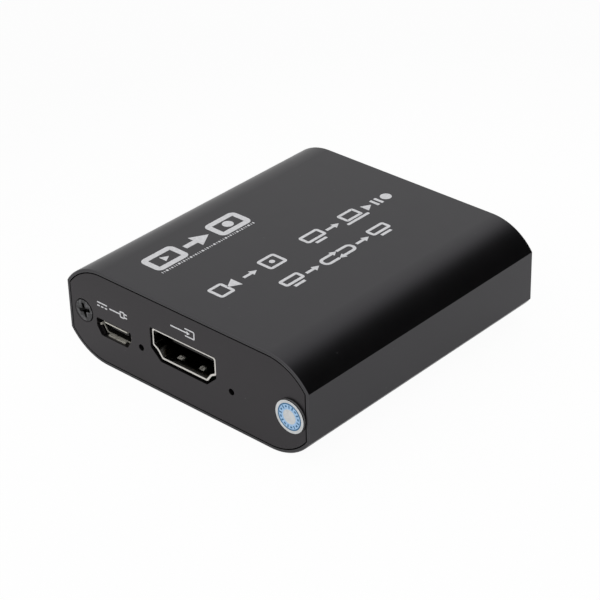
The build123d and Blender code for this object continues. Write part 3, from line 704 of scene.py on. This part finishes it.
def print_row(flat, signs, row):
    """Sets signs side by side with even gaps, so that they fill a row from its left to its right."""
    widths = []
    for sign in signs:
        across = [v.co.x for v in sign.verts]
        sign.transform(Matrix.Translation((-min(across), (row["low"] + row["high"]) / 2, 0)))
        widths.append(max(across) - min(across))
    gap = (row["right"] - row["left"] - sum(widths)) / max(len(signs) - 1, 1)
    left = row["left"]
    for sign, wide in zip(signs, widths):
        stamp(flat, sign, across=left)
        left += wide + gap


def tallness(row):
    """The height of a row's signs."""
    return row["high"] - row["low"]


def lay_film(flat, surface, film, name):
    """Thickens flat signs, drawn in millimetres, to a film, and lays their plane on a surface."""
    raised = bmesh.ops.extrude_face_region(flat, geom=flat.faces[:], use_keep_orig=True)["geom"]
    tops = [v for v in raised if isinstance(v, bmesh.types.BMVert)]
    bmesh.ops.translate(flat, verts=tops, vec=(0, 0, film / mm))
    bmesh.ops.recalc_face_normals(flat, faces=flat.faces)
    flat.transform(surface @ Matrix.Scale(mm, 4))
    return new_piece(flat, name)


def printed(name, dark, light):
    """Printing ink: matt, a little uneven, and grained by the blasted metal under it."""
    finish = new_finish(name, light, ink_roughness[1])
    mottle(finish, ink_size, dark, light, detail=4.0)
    roughen(finish, 2 * ink_size, *ink_roughness)
    bump(finish, noise(finish, blast_size), blast_depth)
    return finish


grey_ink = printed("light_grey_ink", ink_dark, ink_light)
top_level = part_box("sleeve_housing")[1].z
top_face = Matrix(((0, -1, 0, 0), (1, 0, 0, 0), (0, 0, 1, top_level), (0, 0, 0, 1)))

bold_tall = tallness(bold_row)
bold_head = 0.42 * bold_tall
bold_signs = [
    play_sign(bold_screen, bold_tall, bold_stroke),
    arrow(bold_arrow, bold_stroke, bold_head),
    box_sign(bold_screen, bold_tall, bold_stroke),
]
bold = bmesh.new()
print_row(bold, bold_signs, bold_row)
dress(lay_film(bold, top_face, ink_film, "bold_print"), grey_ink)

tick_tall = tick_share * tallness(tick_row)
ticks = bmesh.new()
print_row(ticks, [plate(tick_wide, tick_tall) for tick_wide in tick_widths], tick_row)
dress(lay_film(ticks, top_face, ink_film, "tick_print"), grey_ink)

line_tall = tallness(first_left_row)
left_signs = [
    camera_sign(camera_wide, line_tall, line_stroke),
    arrow(line_arrow, line_stroke, line_head),
    box_sign(small_box, line_tall, line_stroke),
]
right_signs = [
    screen(first_screen, line_tall, line_stroke),
    arrow(line_arrow, line_stroke, line_head),
    laptop(laptop_wide, line_tall, line_stroke),
    play_mark(mark_tall),
    pause_mark(pause_wide, mark_tall, line_stroke),
    disc(mark_tall / 2),
]
first_line = bmesh.new()
print_row(first_line, left_signs, first_left_row)
print_row(first_line, right_signs, first_right_row)
dress(lay_film(first_line, top_face, ink_film, "first_line_print"), grey_ink)

second_tall = tallness(second_row)
second_signs = [
    screen(second_screen, second_tall, line_stroke),
    arrow(line_arrow, line_stroke, line_head),
    loop_sign(loop_wide, second_tall, line_stroke),
    arrow(line_arrow, line_stroke, line_head),
    screen(second_screen, second_tall, line_stroke),
]
second_line = bmesh.new()
print_row(second_line, second_signs, second_row)
dress(lay_film(second_line, top_face, ink_film, "second_line_print"), grey_ink)


# Front labels: the same ink as on the top, in finer lines. The sign for direct current and a plug
# stand over the power socket, and an arrow into a bracket over the video socket.
label_stroke = 0.25
current_wide = 2.4
plug_wide = 4.2
power_row = {"left": -20.2, "right": -13.0, "low": 11.35, "high": 12.65}
video_row = {"left": -2.6, "right": 2.9, "low": 13.85, "high": 15.45}


def direct_current(wide, tall, stroke):
    """One long line over three dashes."""
    sign = bmesh.new()
    stamp(sign, plate(wide, stroke), up=tall / 4)
    dash = wide / 4
    for across in (-1.5 * dash, 0, 1.5 * dash):
        stamp(sign, plate(dash, stroke), across=across, up=-tall / 4)
    return sign


def plug_sign(wide, tall, stroke):
    """A cable into a plug with two blades."""
    sign = bmesh.new()
    body = 0.9 * tall
    blade = 0.45 * tall
    cable = wide - body - blade
    stamp(sign, plate(cable, stroke), across=(cable - wide) / 2)
    stamp(sign, outlined(plate(body, tall, stroke), stroke), across=(cable - blade) / 2)
    for side in (-1, 1):
        stamp(sign, plate(blade, stroke), across=(wide - blade) / 2, up=side * tall / 4)
    return sign


def way_in(wide, tall, stroke):
    """An arrow that goes into a bracket."""
    sign = bmesh.new()
    bracket = 0.62 * wide
    opening = -0.15 * bracket
    pointer = 0.8 * wide
    head = 0.28 * tall
    frame_line = outlined(plate(bracket, tall, stroke), stroke)
    stamp(sign, cut_left(frame_line, opening), across=(wide - bracket) / 2)
    stamp(sign, arrow(pointer, stroke, head), across=(pointer - wide) / 2)
    return sign


panel_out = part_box("front_panel")[0].y
panel_face = Matrix(((1, 0, 0, 0), (0, 0, -1, panel_out), (0, 1, 0, 0), (0, 0, 0, 1)))

power_signs = [
    direct_current(current_wide, tallness(power_row), label_stroke),
    plug_sign(plug_wide, tallness(power_row), label_stroke),
]
power_print = bmesh.new()
print_row(power_print, power_signs, power_row)
dress(lay_film(power_print, panel_face, ink_film, "power_label"), grey_ink)

video_wide = video_row["right"] - video_row["left"]
video_print = bmesh.new()
print_row(video_print, [way_in(video_wide, tallness(video_row), label_stroke)], video_row)
dress(lay_film(video_print, panel_face, ink_film, "video_label"), grey_ink)


# Seal sticker: a disc of foam with a glossy face of pale vinyl, stuck over the right panel screw.
# Its side is darker right behind the vinyl and pale grey towards the panel. It is printed with a
# blue ring round a pale blue band of ticks.
foam_edge = 0.03 * mm
foam_dark = (0.006, 0.006, 0.007)
foam_light = (0.12, 0.118, 0.122)
foam_roughness = (0.7, 0.9)
foam_black = 0.12 * mm  # behind the vinyl: how deep the foam stays dark
foam_pale = 0.18 * mm  # and from where to the panel it is pale
vinyl_dark = (0.58, 0.595, 0.6)
vinyl_light = (0.68, 0.695, 0.7)
vinyl_roughness = (0.24, 0.36)
vinyl_size = 1.5 * mm
vinyl_polish_size = 0.8 * mm
vinyl_margin = 0.03
vinyl_sides = 64
ring_blue = ((0.016, 0.11, 0.24), (0.03, 0.16, 0.32))
ring_radius = 2.45
ring_stroke = 0.22
band_blue = ((0.33, 0.54, 0.8), (0.41, 0.62, 0.88))
band_stroke = 0.9
mark_sizes = ((0.24, 0.56), (0.4, 0.3))
mark_count = 17
mark_radius = 1.86

pad_low, pad_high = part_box("seal_sticker")
pad_middle = (pad_low + pad_high) / 2
pad_radius = (pad_high.x - pad_low.x) / 2 / mm
pad_face = Matrix((
    (1, 0, 0, pad_middle.x), (0, 0, -1, pad_low.y), (0, 1, 0, pad_middle.z), (0, 0, 0, 1),
))

foam = moulded_skin("dark_foam", foam_dark, *foam_roughness)
pad_out = -pad_low.y
to_panel = spread(foam, from_plane(foam, "Y", 0.0), 1.0, 0.0, pad_out - foam_pale, pad_out - foam_black)
tint(foam, to_panel, foam_dark, foam_light)
dress(finished_copy("seal_sticker", foam_edge, "sticker_pad"), foam)

vinyl = new_finish("pale_vinyl", vinyl_dark, vinyl_roughness[1])
mottle(vinyl, vinyl_size, vinyl_dark, vinyl_light, detail=3.0)
roughen(vinyl, vinyl_polish_size, *vinyl_roughness)
face = disc(pad_radius - vinyl_margin, sides=vinyl_sides)
dress(lay_film(face, pad_face, ink_film, "sticker_face"), vinyl)

blue_ink = printed("blue_ink", *ring_blue)
pale_blue_ink = printed("pale_blue_ink", *band_blue)
band = outlined(disc(ring_radius - ring_stroke), band_stroke)
dress(lay_film(band, pad_face, 2 * ink_film, "sticker_band"), pale_blue_ink)
marks = bmesh.new()
stamp(marks, outlined(disc(ring_radius), ring_stroke))
for number in range(mark_count):
    mark = plate(*mark_sizes[number % 2])
    mark.transform(Matrix.Translation((0, mark_radius, 0)))
    stamp(marks, mark, turn=2 * pi * number / mark_count)
dress(lay_film(marks, pad_face, 3 * ink_film, "sticker_ring"), blue_ink)


# Studio: a pale floor under even white light, with one dark flag behind the box on the right, which
# is what the arc on that side mirrors. The floor keeps the box's soft shadow.
floor_side = 6.0
floor_drop = 0.02 * mm
floor_white = (0.95, 0.95, 0.95)
beyond_pool_grey = (0.5, 0.5, 0.5)
floor_glow = {"Is Camera Ray": 0.96, "Is Glossy Ray": 0.42, "Is Transmission Ray": 0.42}
light_pool_middle = (0.03, 0.0, 0.0)
light_pool_edge = (0.08, 0.14)  # from its middle: where the painted pool of light on the floor fades to grey
flag_axis = (0.6, 0.8, 0.0)
flag_edge = (0.365, 0.655)
flag_light = 0.01
bright_axis = (0.35, 0.0, 0.94)
dark_side_light = 0.18
bright_side_light = 1.254
white = (1, 1, 1, 1)

bpy.ops.mesh.primitive_plane_add(size=floor_side, location=(0, 0, -floor_drop))
floor = bpy.context.object
floor.name = "studio_floor"
paper = new_finish("white_paper", floor_white, roughness=1.0)
paper.node_tree.nodes["Principled BSDF"].inputs["Specular IOR Level"].default_value = 0.0
nodes, links = paper.node_tree.nodes, paper.node_tree.links
glow = nodes.new("ShaderNodeEmission")
ray = nodes.new("ShaderNodeLightPath")
around = nodes.new("ShaderNodeTexCoord")
distance = nodes.new("ShaderNodeVectorMath")
distance.operation = "DISTANCE"
distance.inputs[1].default_value = light_pool_middle
links.new(around.outputs["Object"], distance.inputs[0])
# A painted pool of light on the floor: white near the box and grey further out, which the box's reflections
# see.
tint(paper, spread(paper, distance.outputs["Value"], 0.0, 1.0, *light_pool_edge), floor_white, beyond_pool_grey)
share = None
for kind, part in floor_glow.items():
    step = nodes.new("ShaderNodeMath")
    step.operation = "MULTIPLY_ADD"
    step.inputs[1].default_value = part
    step.inputs[2].default_value = 0.0
    links.new(ray.outputs[kind], step.inputs[0])
    if share:
        links.new(share, step.inputs[2])
    share = step.outputs["Value"]
blend = nodes.new("ShaderNodeMixShader")
links.new(share, blend.inputs["Fac"])
links.new(nodes["Principled BSDF"].outputs["BSDF"], blend.inputs[1])
links.new(glow.outputs["Emission"], blend.inputs[2])
links.new(blend.outputs["Shader"], nodes["Material Output"].inputs["Surface"])
clothe(floor, paper)

world = bpy.data.worlds.new("studio")
bpy.context.scene.world = world
world.use_nodes = True
nodes, links = world.node_tree.nodes, world.node_tree.links
direction = nodes.new("ShaderNodeTexCoord")
toward_flag = nodes.new("ShaderNodeVectorMath")
toward_flag.operation = "DOT_PRODUCT"
toward_flag.inputs[1].default_value = flag_axis
beside_flag = nodes.new("ShaderNodeMapRange")
beside_flag.interpolation_type = "SMOOTHSTEP"
beside_flag.inputs["From Min"].default_value = flag_edge[0]
beside_flag.inputs["From Max"].default_value = flag_edge[1]
beside_flag.inputs["To Min"].default_value = 1.0
beside_flag.inputs["To Max"].default_value = flag_light
toward_bright = nodes.new("ShaderNodeVectorMath")
toward_bright.operation = "DOT_PRODUCT"
toward_bright.inputs[1].default_value = bright_axis
upward = nodes.new("ShaderNodeMapRange")
upward.inputs["From Min"].default_value = -1.0
upward.inputs["To Min"].default_value = dark_side_light
upward.inputs["To Max"].default_value = bright_side_light
level = nodes.new("ShaderNodeMath")
level.operation = "MULTIPLY"
links.new(direction.outputs["Generated"], toward_flag.inputs[0])
links.new(toward_flag.outputs["Value"], beside_flag.inputs["Value"])
links.new(direction.outputs["Generated"], toward_bright.inputs[0])
links.new(toward_bright.outputs["Value"], upward.inputs["Value"])
links.new(beside_flag.outputs["Result"], level.inputs[0])
links.new(upward.outputs["Result"], level.inputs[1])
lit = nodes["Background"]
lit.inputs["Color"].default_value = white
links.new(level.outputs["Value"], lit.inputs["Strength"])
backdrop = nodes.new("ShaderNodeBackground")
backdrop.inputs["Color"].default_value = white
seen = nodes.new("ShaderNodeLightPath")
choice = nodes.new("ShaderNodeMixShader")
links.new(seen.outputs["Is Camera Ray"], choice.inputs["Fac"])
links.new(lit.outputs["Background"], choice.inputs[1])
links.new(backdrop.outputs["Background"], choice.inputs[2])
links.new(choice.outputs["Shader"], nodes["World Output"].inputs["Surface"])


# Camera: a long lens that looks down on the front right corner of the box. Its place, its lean and
# the lens are the ones at which the edges of the box fit the photograph.
camera_place = Vector((212.2, -228.39, 195.99)) * mm
camera_azimuth = radians(42.961)
camera_elevation = radians(31.226)
camera_roll = radians(-1.686)
camera_lens = 127.1
film_width = 36
nearest = 0.01

camera = bpy.data.objects.new("camera", bpy.data.cameras.new("camera"))
bpy.context.scene.collection.objects.link(camera)
camera.matrix_world = (
    Matrix.Translation(camera_place)
    @ Matrix.Rotation(camera_azimuth, 4, "Z")
    @ Matrix.Rotation(pi / 2 - camera_elevation, 4, "X")
    @ Matrix.Rotation(camera_roll, 4, "Z")
)
camera.data.sensor_width = film_width
camera.data.lens = camera_lens
camera.data.clip_start = nearest
bpy.context.scene.camera = camera
bpy.context.scene.view_settings.view_transform = "Standard"
